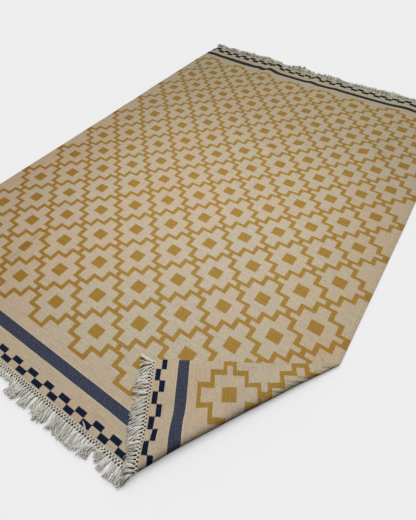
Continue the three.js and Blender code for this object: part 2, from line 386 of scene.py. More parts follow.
def cloth_coordinates(tree, layer):
    """The two coordinates of a UV layer, in metres."""
    place = add_node(tree, "UVMap", {}, uv_map=layer)
    parts = add_node(tree, "SeparateXYZ", {0: place.outputs[0]})
    return Signal(tree, parts.outputs["X"]), Signal(tree, parts.outputs["Y"])


def new_material(name, roughness, specular):
    material = bpy.data.materials.new(name)
    material.use_nodes = True
    tree = material.node_tree
    shader = next(node for node in tree.nodes if node.type == "BSDF_PRINCIPLED")
    shader.inputs["Roughness"].default_value = roughness
    shader.inputs["Specular IOR Level"].default_value = specular
    return material, tree, shader


def add_bump(tree, shader, height, distance):
    """Height is a Signal in units of distance."""
    node = add_node(tree, "Bump", {"Height": height, "Distance": distance, "Strength": 1.0})
    tree.links.new(node.outputs[0], shader.inputs["Normal"])


# ---------------------------------------------------------------- the woven design
# The field is a half-drop lattice of stepped medallions. A cell is one medallion.
CELL_ACROSS = 0.2065
CELL_ALONG = 0.2124
MIDDLE_COLUMN = 0.481  # the lattice's place at the middle of the cloth
MIDDLE_ROW = 4.5
RIB_PITCH = 0.0043  # warps under the weft
WEFT_PITCH = 0.0016
TOOTH = 0.0026  # how far the wefts of two colours bite into each other at an upright edge
TOOTH_PITCH = 0.0055
SCALLOP = 0.0006  # how far a level edge steps over each rib
WAVER = 0.0035  # how far the edges wander in the field
CHECK_WAVER = 0.012  # and in the rows of rectangles
SELVEDGE_WIDTH = 0.006
GROOVE_HALF = 0.0022
BORDER_TOP = -1.03  # below this the near border is of the warmer cream
BUMP_DEPTH = 0.0006

# A medallion's bars and its square, in medallions from its middle.
BAR_AT = 0.350  # the upright bars of its outline
BAR_HALF = 0.042
BAR_FROM = 0.044
TOP_FROM = 0.2205  # the level bars farthest from its middle
FOOT_AT = 0.072  # the level bars nearest to it
FOOT_HALF = 0.029
FOOT_FROM = 0.312
LINK_FROM = 0.457  # the short bars between it and the next
LINK_HALF = 0.100
SQUARE_ACROSS = 0.118
SQUARE_ALONG = 0.104
GROWTH = 0.005  # how much larger squares are at the far end, and on the turned corner
BAR_GROWTH = 0.002  # and how much heavier the bars are at the far end
GROWTH_ROWS = (3.5, 8.5)  # from none to all of it
FIRST_COLUMN = -3
LAST_COLUMN = 4
SQUARE_ROWS = (-0.2, 9.2)  # the medallions past these have no square
FIELD_ROWS = (-0.456, 9.452)  # where the lattice begins and ends
TIGHT_FROM = 9.1  # the row from which the last medallions were beaten in tighter
TIGHTEST = 2.6  # at column 0, and less for each column from there
TIGHTNESS_SLOPE = -0.72
LEAST_TIGHT = 0.45
LAST_FOOT_ROW = 9.3  # beyond it the level bars are as deep as the others in spite of that
LAST_FOOT_DEEPER = 0.040

# The edges of the near stripe, foot and top, in columns and rows: the row at column 0, and a
# slope that ends at a column each way.
NEAR_STRIPE = table("row slope sloped_to", [
    (-0.8370, 0.0217, 2.0),
    (-0.6420, 0.0139, 2.6),
])
SLOPED_FROM = -1.5
# The edges of the far stripe: the row towards -X, and a change between two columns.
FAR_STRIPE = table("row change from_column to_column", [
    (9.568, -0.060, -3.0, -1.9),
    (9.729, -0.085, -3.0, -0.2),
])
FAR_STRIPE_RISE = 0.015  # of both its edges towards +X
FAR_RISE_COLUMNS = (0.6, 3.0)  # between which they rise

# The dark rectangles and the dotted lines, in the same units.
CHECK_PITCH = 0.343
NEAR_CHECK_COLUMN = 4.44  # the middle of an inner rectangle
NEAR_CHECK_ROW = -1.074  # the line between the two rows, at the column TILT_ABOUT
NEAR_CHECK_SLOPE = 0.018
TILT_ABOUT = 1.25
TILT_TO = 2.8  # the line runs level from there on
NEAR_SPACING = table("from_column to_column shift", [  # closer towards -X, and then wider
    (3.2, 2.2, -0.036),
    (0.9, 0.1, 0.040),
])
FAR_CHECK_COLUMN = 4.448
FAR_CHECK_ROW = 10.010  # the line between the two far rows, towards -X
FAR_SPACING = {"from_column": 0.6, "to_column": -1.2, "shift": 0.036}  # wider towards -X
FAR_FALLS = (-1.6, -0.3)  # the columns between which both far rows come nearer the field
FAR_FALL = 0.112
FAR_CHECK_HEIGHT = 0.132
FAR_CHECK_LOWER = -0.035  # and how much less high they are from there
NEAR_CHECK_HALF = 0.089
FAR_CHECK_HALF = 0.095
NEAR_CHECK_HEIGHT = 0.080
FAR_CHECK_OVERLAP = 0.010  # how far each far row reaches past the line between the two
DOTS_HALF = 0.007
DOTS_OUTSIDE = 0.006  # how far outside the stripe's edge they run
DOT_SHARE = 0.3  # of a rib's width on each side of its middle

CREAM = (0.562, 0.474, 0.336)
WARM_CREAM = (0.590, 0.456, 0.318)
PALE_CREAM = (0.680, 0.590, 0.450)
OCHRE = (0.428, 0.252, 0.056)
DARK_OCHRE = (0.365, 0.203, 0.0405)
DEEP_TINT = (0.94, 0.885, 0.72)  # of the ochre towards the near end's -X corner
SLATE = (0.032, 0.038, 0.068)
PALE_SLATE = (0.082, 0.091, 0.132)
FAR_SLATE = (0.034, 0.036, 0.052)
NAVY = (0.009, 0.016, 0.040)
SPECK = (0.16, 0.13, 0.12)
# black of the thread behind the knots, painted shade in the net's holes
PAINTED_SHADE_BLACK = (0.004, 0.005, 0.008)

# The lattice isn't woven quite regularly: soft shifts of it, in metres.
DRIFTS = table("across along half_width half_length dx dy", [
    (0.0, -1.06, 9.0, 0.09, 0, -0.007),
    (0.0, -0.90, 1.80, 0.19, 0, -0.0095),
    (0.62, -0.95, 0.12, 0.25, -0.012, 0),
    (0.82, -0.70, 0.12, 0.06, 0, 0.012),
    (-0.1, -0.42, 0.35, 0.35, 0.005, 0),
    (0.60, -0.35, 0.55, 0.75, -0.005, 0),
    (0.0, -0.29, 9.0, 0.26, 0, 0.0045),
    (-0.75, -0.25, 0.4, 0.26, 0, 0.005),
    (0.72, -0.27, 0.5, 0.28, 0, 0.006),
    (0.06, 0.17, 0.5, 0.36, 0, -0.0095),
    (-0.5, 0.22, 0.9, 0.30, -0.005, 0),
    (-0.8, 0.27, 0.75, 0.26, 0, 0.010),
    (-0.6, 0.53, 0.4, 0.35, 0, 0.005),
    (0.6, 0.64, 0.3, 0.20, 0, 0.008),
    (-0.2, 0.92, 0.6, 0.20, 0, -0.0150),
    (-0.75, 0.95, 0.3, 0.15, 0, -0.007),
    (0.30, 0.96, 0.25, 0.12, 0, -0.007),
    (0.7, 0.92, 0.4, 0.20, 0, 0.0055),
])
# Broad patches where the wool is paler, pinker or greener than elsewhere. The first, which
# lightens the whole far end, is painted light, and the fourth, bluer round the middle, is a
# painted sheen.
TINTS_AND_PAINTED_LIGHT = table("across along half_width half_length tint", [
    # painted light over the far end
    (0.00, 1.20, 9.0, 0.75, (1.11, 1.12, 1.05)),
    (-0.84, -0.30, 0.45, 1.20, (0.96, 0.91, 0.87)),
    (0.84, -0.10, 0.35, 0.95, (0.95, 0.92, 0.88)),
    # painted bluish sheen round the middle
    (0.28, -0.55, 0.45, 0.65, (0.97, 1.02, 1.09)),
    (-0.45, -1.05, 0.40, 0.20, (0.99, 0.94, 0.88)),
    (0.79, -0.59, 0.10, 0.10, (1.03, 0.93, 0.90)),
    (0.79, -1.04, 0.09, 0.08, (1.03, 0.97, 0.93)),
    (0.70, -0.90, 0.12, 0.14, (0.90, 0.96, 0.99)),
    (0.44, -1.14, 0.12, 0.20, (0.95, 1.03, 1.02)),
    (0.55, -0.98, 0.12, 0.10, (0.95, 1.00, 1.00)),
])
# Small smudges, and painted shade on the far slope of a crease, along another crease and at the
# foot of two ripples.
SMUDGES_AND_PAINTED_SHADE = table("across along half_width half_length tint", [
    # painted shade on the far slope of a crease
    (0.60, 0.69, 0.05, 0.09, (0.88, 0.91, 0.97)),
    (0.17, 0.85, 0.06, 0.05, (0.93, 0.95, 1.00)),
    (0.07, 0.545, 0.05, 0.07, (0.91, 0.94, 1.02)),
    (-0.45, -0.62, 0.05, 0.05, (0.93, 0.95, 1.00)),
    (-0.51, -0.36, 0.05, 0.05, (0.93, 0.95, 1.00)),
    # painted shade along a crease and at the foot of two ripples
    (-0.412, -0.85, 0.022, 0.17, (0.82, 0.84, 0.80)),
    (-0.371, 1.02, 0.016, 0.22, (0.80, 0.80, 0.84)),
    (-0.771, 0.85, 0.014, 0.10, (0.82, 0.82, 0.86)),
])

FOLD_INNER_EDGE = (-0.012, -0.002)  # from the line the cloth is folded along
FOLD_OUTER_EDGE = (0.036, 0.006)

FAR_SPREAD = 0.015  # how much wider the lattice is woven towards the far end
SPREAD_FROM = 0.42
SPREAD_FULL = 0.95


def woven_place(x, y):
    """The coordinates in the design of points of the pattern."""
    part = np.clip((y - SPREAD_FROM) / (SPREAD_FULL - SPREAD_FROM), 0, 1)
    spread = FAR_SPREAD * part * part * (3 - 2 * part)
    woven_x, woven_y = x * (1 - spread), np.array(y)
    for drift in DRIFTS:
        sideways = (x - drift["across"]) / drift["half_width"]
        lengthways = (y - drift["along"]) / drift["half_length"]
        share = bell(sideways) * bell(lengthways)
        woven_x = woven_x - drift["dx"] * share
        woven_y = woven_y - drift["dy"] * share
    return woven_x, woven_y


def field_chart(column, row, turned):
    """1 where the field is ochre. Columns and rows are in medallions, whole ones at the middle
    of each, with more medallions half way between them both ways."""
    tightness = abs(column) * TIGHTNESS_SLOPE + TIGHTEST
    last = (row - TIGHT_FROM).math("MAXIMUM", 0.0)
    row = row + last * last * tightness.math("MAXIMUM", LEAST_TIGHT)
    far = row.fade(*GROWTH_ROWS)
    thicker = far * BAR_GROWTH
    larger = (far + turned) * GROWTH
    deeper = (row > LAST_FOOT_ROW) * LAST_FOOT_DEEPER

    beside = column.to_nearest(1.0)
    above = row.to_nearest(1.0)
    half_drop = above > 0.25
    across = beside + half_drop * (beside * -2.0 + 0.5)
    along = row.to_nearest(0.5)
    bar_end = BAR_AT + BAR_HALF
    top = (along + thicker > TOP_FROM) & across.between(0.5 - bar_end, bar_end)
    bar = (along > BAR_FROM) & (abs(across - BAR_AT) - thicker < BAR_HALF)
    foot = (abs(along - FOOT_AT) - thicker - deeper < FOOT_HALF) & (across > FOOT_FROM)
    link = (across + thicker > LINK_FROM) & (along < LINK_HALF)
    outside = (column > LAST_COLUMN + 0.3) | (column < FIRST_COLUMN - 0.3)
    no_square = (row < SQUARE_ROWS[0]) | (row > SQUARE_ROWS[1]) | (outside & half_drop)
    square = (across - larger < SQUARE_ACROSS) & (along - larger < SQUARE_ALONG)
    beyond = (column > LAST_COLUMN + LINK_FROM) | (column < FIRST_COLUMN - LINK_FROM)
    edge_bar = beyond & (above < LINK_HALF)
    ochre = top | bar | foot | link | (square & (no_square < 0.5)) | edge_bar
    return ochre & row.between(*FIELD_ROWS)


def stripe_edges(column):
    """The rows of the foot and the top of the near stripe, and of the far one."""
    held = column.math("MAXIMUM", SLOPED_FROM)
    near = [
        held.math("MINIMUM", edge["sloped_to"]) * edge["slope"] + edge["row"]
        for edge in NEAR_STRIPE
    ]
    rise = column.fade(*FAR_RISE_COLUMNS) * FAR_STRIPE_RISE
    far = [
        column.fade(edge["from_column"], edge["to_column"]) * edge["change"] + rise + edge["row"]
        for edge in FAR_STRIPE
    ]
    return near, far


def stripe_chart(row, foot, top):
    """1 in a plain stripe."""
    return (row - foot > 0.0) & (row - top < 0.0)


def dotted_chart(row, foot, top):
    """1 in the lines that run along both sides of a stripe."""
    below = abs(row - (foot - DOTS_OUTSIDE)) < DOTS_HALF
    return below | (abs(row - (top + DOTS_OUTSIDE)) < DOTS_HALF)


def half_step_rows(place, half_length, inner_row, outer_row):
    """1 in two rows of rectangles, set half a step apart."""
    inner = place.to_nearest(CHECK_PITCH) < half_length
    outer = (place - CHECK_PITCH / 2).to_nearest(CHECK_PITCH) < half_length
    return (inner & inner_row) | (outer & outer_row)


def respaced(column, place, spacing):
    """Places along rows of rectangles that are spaced otherwise between two columns."""
    return place + column.fade(spacing["from_column"], spacing["to_column"]) * spacing["shift"]


def check_chart(column, row):
    """1 in the dark rectangles at each end."""
    place = column
    for spacing in NEAR_SPACING:
        place = respaced(column, place, spacing)
    tilt = (column.math("MINIMUM", TILT_TO) - TILT_ABOUT) * NEAR_CHECK_SLOPE
    level = row - tilt - NEAR_CHECK_ROW
    inner_row = level.between(0.0, NEAR_CHECK_HEIGHT)
    outer_row = level.between(-NEAR_CHECK_HEIGHT, 0.0)
    place = place - NEAR_CHECK_COLUMN
    near = half_step_rows(place, NEAR_CHECK_HALF, inner_row, outer_row)
    fallen = column.fade(*FAR_FALLS)
    level = row + fallen * FAR_FALL - FAR_CHECK_ROW
    height = fallen * FAR_CHECK_LOWER + FAR_CHECK_HEIGHT
    inner_row = (level < FAR_CHECK_OVERLAP) & (level + height > 0.0)
    outer_row = (level > -FAR_CHECK_OVERLAP) & (level - height < 0.0)
    place = respaced(column, column, FAR_SPACING) - FAR_CHECK_COLUMN
    return near | half_step_rows(place, FAR_CHECK_HALF, inner_row, outer_row)


def kilim_material():
    material, tree, shader = new_material("kilim_weave", roughness=0.9, specular=0.05)
    x, y = cloth_coordinates(tree, "Weave")
    run, past = to_fold(x, y)

    # Where each colour goes: upright edges are toothed, and level ones follow the ribs.
    waver = (noise(x, y, 22.0, 60.0, 3.0) - 0.5) * WAVER
    check_waver = (noise(x, y, 14.0, 1.0, 9.0) - 0.5) * CHECK_WAVER
    tooth = (y.to_nearest(TOOTH_PITCH) / TOOTH_PITCH - 0.25) * (2 * TOOTH)
    scallop = (x.to_nearest(RIB_PITCH) / RIB_PITCH - 0.25) * (2 * SCALLOP)
    column = (x + waver + tooth) / CELL_ACROSS + MIDDLE_COLUMN
    row = (y + waver * 0.5 + scallop) / CELL_ALONG + MIDDLE_ROW
    field = field_chart(column, row, past > 0.0)
    near, far = stripe_edges(column)
    near_stripe = stripe_chart(row, *near)
    far_stripe = stripe_chart(row, *far)
    dotted = dotted_chart(row, *near) | dotted_chart(row, *far)
    dotted = dotted & (x.to_nearest(RIB_PITCH) < RIB_PITCH * DOT_SHARE)
    checks = check_chart((x + check_waver + tooth) / CELL_ACROSS + MIDDLE_COLUMN, row)

    # Each wool takes its dye unevenly, in streaks along the weft and in broad patches.
    streaks = noise(x, y, 14.0, 420.0, 1.0, detail=3.0)
    grain = noise(x, y, 170.0, 240.0, 6.0)
    mottle = noise(x, y, 42.0, 62.0, 16.0)
    warmth = noise(x, y, 3.2, 2.6, 5.0) + x * -0.10 + y * -0.08
    border = (y < BORDER_TOP) * 0.7
    cream = mix_colour(warmth.fade(0.42, 0.66) | border, CREAM, WARM_CREAM)
    ochre = mix_colour(noise(x, y, 16.0, 260.0, 8.0).fade(0.3, 0.8), OCHRE, DARK_OCHRE)
    deep = (x * 0.8 + y * 0.6).fade(-0.35, -0.78)
    ochre = mix_colour(deep, ochre, DEEP_TINT, "MULTIPLY")
    slate = mix_colour(noise(x, y, 150.0, 320.0, 12.0).fade(0.36, 0.64), SLATE, PALE_SLATE)
    small_specks = noise(x, y, 110.0, 230.0, 11.0).fade(0.68, 0.74)
    large_specks = noise(x, y, 70.0, 110.0, 15.0).fade(0.72, 0.75)
    colour = cream
    for place, dye in (
        (field, ochre),
        (near_stripe, slate),
        (far_stripe, FAR_SLATE),
        (checks, NAVY),
        (dotted, PALE_CREAM),
        (small_specks * 0.6, SPECK),
        (large_specks * 0.7, SPECK),
    ):
        colour = mix_colour(place, colour, dye)
    # Tints and smudges multiply the colour; a few are painted light, painted sheen and painted
    # shade.
    for patch in TINTS_AND_PAINTED_LIGHT + SMUDGES_AND_PAINTED_SHADE:
        sideways = abs((x - patch["across"]) / patch["half_width"])
        lengthways = abs((y - patch["along"]) / patch["half_length"])
        amount = sideways.ease(1.0, 0.0) * lengthways.ease(1.0, 0.0)
        colour = mix_colour(amount, colour, patch["tint"], "MULTIPLY")

    # Along the outside of the fold the ribs stand apart, with painted shade between them.
    outside = past.ease(*FOLD_INNER_EDGE) * past.ease(*FOLD_OUTER_EDGE) * run.fade(0.10, 0.50)
    # Where the ribs part, the colour is darkened as painted shade and the bump sinks.
    parted_ribs_and_painted_shade = outside * noise(x, y, 125.0, 8.0, 14.0).fade(0.46, 0.60)
    # A band of painted shade over the roll and the turned corner next to the fold.
    fold_painted_shade = past.ease(-0.012, 0.010) * past.ease(0.240, 0.100)

    # Ribs over the warps, with the wefts crossing them one up and one down. Each selvedge is a
    # bundle of warps with a groove along its inner side. The hollows between ribs and wefts and the
    # groove are darkened in the colour as painted shade, as well as sunk in the bump.
    groove = abs(abs(x) - (HALF_WIDTH - SELVEDGE_WIDTH)).fade(GROOVE_HALF, 0.0)
    rib = x.to_nearest(RIB_PITCH) * (2 / RIB_PITCH)
    rib_number = (x / RIB_PITCH + 0.5).math("FLOOR")
    weft = (y / WEFT_PITCH + rib_number * 0.5).to_nearest(1.0) * 2.0
    colour = shade_by(
        colour,
        (streaks - 0.5) * 0.44 + (grain - 0.5) * 0.70 + (mottle - 0.5) * 0.22
        + rib * -0.05 + weft * -0.05
        + groove * -0.12 + parted_ribs_and_painted_shade * -0.46 + fold_painted_shade * -0.05 + 1.05,
    )
    tree.links.new(colour, shader.inputs["Base Color"])
    fuzz = noise(x, y, 160.0, 160.0, 2.0)
    height = rib * rib * -0.6 + weft * -0.25 + fuzz * 0.8 + groove * -1.0 + parted_ribs_and_painted_shade * -2.0
    add_bump(tree, shader, height, BUMP_DEPTH)
    return material


COTTONS = table("name dark pale soiled", [
    ("fringe_knotted", (0.68, 0.62, 0.49), (1.00, 0.94, 0.79), (0.58, 0.53, 0.43)),
    ("fringe_clean", (0.62, 0.59, 0.52), (1.00, 0.97, 0.90), (0.54, 0.51, 0.44)),
    ("fringe_grubby", (0.34, 0.31, 0.21), (1.00, 0.95, 0.75), (0.30, 0.27, 0.19)),
])
PLIES = 2.0
PLY_RIDGES = 260.0  # per metre of yarn
PLY_DEPTH = 0.0005


def yarn_material(name, dark, pale, soiled):
    """Undyed cotton, each strand a shade between dark and pale, and soiled in places. In the
    tassels the lots are partly painted shade, darker for locks lying lower, and the black thread
    is painted shade too.
    """
    material, tree, shader = new_material(name, roughness=0.85, specular=0.2)
    around, along = cloth_coordinates(tree, "Yarn")
    lot = add_node(tree, "Attribute", {}, attribute_name="lot")
    lot = Signal(tree, lot.outputs["Fac"])
    colour = mix_colour(lot, dark, pale)
    patches = noise(along, lot, 60.0, 40.0, 4.0).fade(0.55, 0.75)
    colour = mix_colour(patches * 0.5, colour, soiled)
    # Ply ridges round the yarn, with the hollows between them darkened in the colour as painted
    # shade.
    ply = (along * PLY_RIDGES + around * PLIES).to_nearest(1.0) * 2.0
    colour = shade_by(colour, ply * -0.22 + 1.08)
    # Black for the thread behind the knots: painted shade in the net's holes.
    colour = mix_colour(lot < -0.5, colour, PAINTED_SHADE_BLACK)
    tree.links.new(colour, shader.inputs["Base Color"])
    shader.inputs["Sheen Weight"].default_value = 0.1
    add_bump(tree, shader, ply * -1.0, PLY_DEPTH)
    return material


# ---------------------------------------------------------------- objects
def add_object(name, data):
    added = bpy.data.objects.new(name, data)
    bpy.context.collection.objects.link(added)
    return added


def add_piece(name, points, faces, material, maps):
    """A smooth mesh, with a UV layer for each of its maps."""
    mesh = bpy.data.meshes.new(name)
    mesh.from_pydata(points.tolist(), [], faces)
    mesh.shade_smooth()
    for layer_name, places in maps.items():
        layer = mesh.uv_layers.new(name=layer_name)
        layer.data.foreach_set("uv", np.ascontiguousarray(places, dtype=np.float32).ravel())
    mesh.materials.append(material)
    return add_object(name, mesh)


# ---------------------------------------------------------------- the cloth's mesh
GRID_STEP = 0.0112
FOLD_STEP = 0.008  # between points along the fold, and between lines on the curve down
ROLL_LINES = 14
SETTLE_LINES = 12
FOLD_MARGIN = 0.006
EDGE_ROUND = 0.0014  # how far the rounded edge stands out
RING_STEP = 0.004  # between the edge's rings in the bake's map, as metres of the pattern
BAKE_MARGIN = 0.012


def fold_lines():
    """Lines of points along the fold, as they are on the straight-edged pattern."""
    run = np.arange(-0.03, FOLD_LENGTH + 0.03, FOLD_STEP)
    _, roll, settle, _, start = fold_section(run)
    pasts = [roll * step / ROLL_LINES for step in range(ROLL_LINES)]
    pasts += [roll + settle * step / SETTLE_LINES for step in range(SETTLE_LINES + 1)]
    lines = []
    for past in pasts:
        lines.append(np.stack(straightened(*from_fold(run, start + past)), -1))
    return lines


def clear_of_fold(points):
    past, roll, settle = past_fold(*uneven(points[:, 0], points[:, 1]))
    return (past < -FOLD_MARGIN) | (past > roll + settle + FOLD_MARGIN)


def grid_lines(half_size):
    return np.linspace(-half_size, half_size, round(2 * half_size / GRID_STEP) + 1)


def rim_points(across, along):
    """Points round the straight-edged pattern's rim, anticlockwise from a corner."""
    kept = []
    for x, y in (
        (across[:-1], -HALF_LENGTH),
        (HALF_WIDTH, along[:-1]),
        (across[:0:-1], HALF_LENGTH),
        (-HALF_WIDTH, along[:0:-1]),
    ):
        side = np.stack(np.broadcast_arrays(x, y), -1)
        corner = np.arange(len(side)) == 0
        kept.append(side[corner | clear_of_fold(side)])
    return np.concatenate(kept)


def pattern_triangles():
    """Cuts the straight-edged pattern into triangles, with sides along the lines of the fold."""
    across, along = grid_lines(HALF_WIDTH), grid_lines(HALF_LENGTH)
    inner = np.meshgrid(across[1:-1], along[1:-1])
    grid = np.stack([part.ravel() for part in inner], -1)
    rim = rim_points(across, along)
    points = [rim, grid[clear_of_fold(grid)]]
    edges = [(i, (i + 1) % len(rim)) for i in range(len(rim))]
    total = sum(len(part) for part in points)
    for line in fold_lines():
        points.append(line)
        edges += [(total + i, total + i + 1) for i in range(len(line) - 1)]
        total += len(line)
    vectors = [Vector(point) for point in np.concatenate(points).tolist()]
    vertices, _, faces, *_ = delaunay_2d_cdt(vectors, edges, [], 0, 1e-6)
    vertices = np.array(vertices)
    faces = np.array(faces)
    middles = vertices[faces].mean(axis=1)
    inside = (np.abs(middles[:, 0]) < HALF_WIDTH) & (np.abs(middles[:, 1]) < HALF_LENGTH)
    faces = faces[inside]
    used, faces = np.unique(faces, return_inverse=True)
    return vertices[used], faces.reshape(-1, 3)


def vertex_normals(points, triangles):
    a, b, c = (points[triangles[:, i]] for i in range(3))
    face_normals = np.cross(b - a, c - a)
    normals = np.zeros_like(points)
    for i in range(3):
        np.add.at(normals, triangles[:, i], face_normals)
    return unit(normals)


def rim_edges(triangles):
    """The directed edges that belong to one triangle only."""
    edges = np.concatenate([triangles[:, [0, 1]], triangles[:, [1, 2]], triangles[:, [2, 0]]])
    size = triangles.max() + 1
    forward = edges[:, 0] * size + edges[:, 1]
    backward = edges[:, 1] * size + edges[:, 0]
    return edges[~np.isin(forward, backward)]


def outward(points, edges, normals):
    """At each point of the rim, the direction out of the sheet."""
    sideways = np.cross(points[edges[:, 1]] - points[edges[:, 0]], normals[edges[:, 0]])
    directions = np.zeros_like(points)
    np.add.at(directions, edges[:, 0], sideways)
    np.add.at(directions, edges[:, 1], sideways)
    rim = np.unique(edges)
    return rim, unit(directions[rim])


def bake_place(straight, on_back):
    """Face and back side by side in the unit square."""
    u = BAKE_MARGIN + (0.5 - 2 * BAKE_MARGIN) * (straight[:, 0] / CLOTH_WIDTH + 0.5)
    v = BAKE_MARGIN + (1 - 2 * BAKE_MARGIN) * (straight[:, 1] / CLOTH_LENGTH + 0.5)
    return np.stack([u + 0.5 * on_back, v], -1)


def kilim_cloth(material):
    straight, triangles = pattern_triangles()
    flat_x, flat_y = uneven(straight[:, 0], straight[:, 1])
    middle = lay(flat_x, flat_y) + SHIFT
    normals = vertex_normals(middle, triangles)
    edges = rim_edges(triangles)
    rim, out_directions = outward(middle, edges, normals)
    flat = np.column_stack([straight, np.zeros(len(straight))])
    upwards = np.tile([0.0, 0.0, 1.0], (len(straight), 1))
    _, flat_out = outward(flat, edges, upwards)

    # The sheet is its face and its back, with three rings round the rim between them.
    half = CLOTH_THICKNESS / 2
    layers = [middle + normals * half, middle - normals * half]
    patterns = [straight, straight]
    ring_starts = []
    count = len(straight)
    for angle in (45, 0, -45):
        lift = half * math.sin(math.radians(angle))
        reach = EDGE_ROUND * math.cos(math.radians(angle))
        layers.append(middle[rim] + normals[rim] * lift + out_directions * reach)
        patterns.append(straight[rim] + flat_out[:, :2] * RING_STEP * (2 - abs(angle) / 45))
        ring_starts.append(2 * count + len(rim) * len(ring_starts))
    place = np.zeros(count, dtype=int)
    place[rim] = np.arange(len(rim))
    bands = [edges, *(place[edges] + start for start in ring_starts), edges + count]
    faces = [triangles, triangles[:, ::-1] + count]
    on_back = [np.zeros(len(triangles)), np.ones(len(triangles))]
    for number, (upper, lower) in enumerate(zip(bands, bands[1:])):
        faces.append(np.column_stack([upper[:, 0], lower[:, 0], lower[:, 1]]))
        faces.append(np.column_stack([upper[:, 0], lower[:, 1], upper[:, 1]]))
        on_back += [np.full(len(edges), number // 2)] * 2
    faces = np.concatenate(faces)
    on_back = np.repeat(np.concatenate(on_back), 3)

    pattern = np.concatenate(patterns)[faces.ravel()]
    woven = np.stack(woven_place(*uneven(pattern[:, 0], pattern[:, 1])), -1)
    maps = {"Weave": woven, "OFBake": bake_place(pattern, on_back)}
    return add_piece("kilim", np.concatenate(layers), faces.tolist(), material, maps)


# ---------------------------------------------------------------- the fringes
# Warp ends come out of the cloth in threes, are knotted, cross over to a second row of knots
# half a step along, and hang from there in tassels. A black thread runs behind each row, as
# painted shade in the net's holes.
KNOT_PITCH = 0.0108
KNOT_RADIUS = 0.0025
CORD_RADIUS = 0.0013  # of the three that come out of the cloth into each knot
CROSSING_RADIUS = CORD_RADIUS * 1.25  # of those that cross from one row of knots to the next
CORD_STEPS = 4
CORD_SIDES = 6
CORDS_INSIDE = 0.002  # how far inside the cloth's end they start
CORDS_PINCHED = 0.0006  # how far apart they are where they enter the knot
FIRST_KNOT = 0.0044  # from the cloth's end
SECOND_KNOT = 0.0106
KNOT_SHAPE = table("along radius", [  # both as shares of the knot's radius
    (-1.00, 0.35),
    (-0.75, 0.78),
    (-0.30, 1.00),
    (0.30, 1.00),
    (0.75, 0.78),
    (1.00, 0.35),
])
KNOT_STRETCH = 1.05
KNOT_SIDES = 8
KNOT_WANDER = 0.0005  # chance difference of its place
KNOT_LIFT = 0.0003
WRAP_AT = 0.92  # the turn of cord round a knot, as a share of the knot's radius
WRAP_RADIUS = CORD_RADIUS * 0.9
WRAP_POINTS = 9
YARN_SIDES = 5
FIRST_THREAD_RADIUS = 0.0008
SECOND_THREAD_RADIUS = 0.0015
THREAD_UNEVEN = 0.25  # how much a thread's thickness comes and goes, as a share
THREAD_PULSE = 130.0  # and how fast, in radians per metre
THREAD_WANDER = 0.0002
SHADE_THREAD_LOT = -1.0  # the lot that marks the black thread, painted shade in the net's holes
STRANDS = 8  # in each tassel
STRAND_RADIUS = 0.0014
STRAND_STEPS = 13
LOCK_WIDTHS = table("share radius", [  # from a tassel's middle to its strands, along it
    (0.00, 0.0008),
    (0.16, 0.0026),
    (0.50, 0.0040),
    (1.00, 0.0078),
])
TWIST = 2.6  # how far a tassel's strands wind round each other, in radians
STRAY = 0.005  # how far its tips part
DROOP = 48.0  # how fast a tassel bends down, in radians per metre
WAVINESS = 18.0  # and how sharply it waves from side to side
WAVE_TURN = 7.5  # radians of that wave in a tassel's length
CURL = 9.0  # and how sharply some bend to one side
PILE_HEIGHT = 0.0055  # how far tassels lie over each other
LENGTH_SPREAD = 0.05  # chance differences: of length, as a share of it
LEAN_SPREAD = 0.15
LAST_TASSELS_IN = 0.4  # how far the two at the corners are set in, in steps of the knots
RISE_SPREAD = 5  # degrees
STRAND_SPREAD = 0.09  # how much shorter than its tassel a strand is, as a share

# Tassels along each end: place across the cloth, length, how far they lean towards +X for each
# unit of length, and the angle at which they rise from the knots.
NEAR_TASSELS = table("across length lean rise", [
    (-0.840, 0.048, 0.05, 5),
    (-0.700, 0.050, 0.15, 5),
    (-0.560, 0.046, -0.10, 5),
    (-0.400, 0.050, 0.10, 5),
    (-0.250, 0.047, -0.15, 5),
    (-0.100, 0.032, 0.20, 5),
    (-0.050, 0.024, 0.10, 5),
    (-0.014, 0.022, 0.60, 5),
    (0.006, 0.036, 0.60, 5),
    (0.030, 0.056, 0.30, 10),
    (0.050, 0.056, -0.15, 5),
    (0.066, 0.038, -0.55, 0),
    (0.078, 0.030, -0.20, 0),
    (0.088, 0.054, 0.05, 5),
    (0.104, 0.050, -0.05, 5),
    (0.122, 0.044, 0.10, 5),
    (0.150, 0.054, 0.00, 5),
    (0.182, 0.052, -0.10, 5),
    (0.194, 0.048, 0.10, 0),
    (0.215, 0.053, 0.00, 5),
    (0.293, 0.053, 0.05, 5),
    (0.345, 0.050, -0.10, 5),
    (0.366, 0.036, -0.60, 5),
    (0.379, 0.020, -0.60, 0),
    (0.390, 0.016, -0.30, 0),
    (0.402, 0.044, -0.15, 5),
    (0.416, 0.040, -0.05, 5),
    (0.440, 0.046, -0.05, 5),
    (0.479, 0.046, 0.10, 5),
    (0.520, 0.048, 0.00, 5),
    (0.600, 0.047, -0.25, 5),
    (0.680, 0.049, -0.45, 5),
    (0.760, 0.047, -0.25, 5),
    (0.815, 0.040, -0.55, 5),
    (0.840, 0.046, 0.25, 5),
])
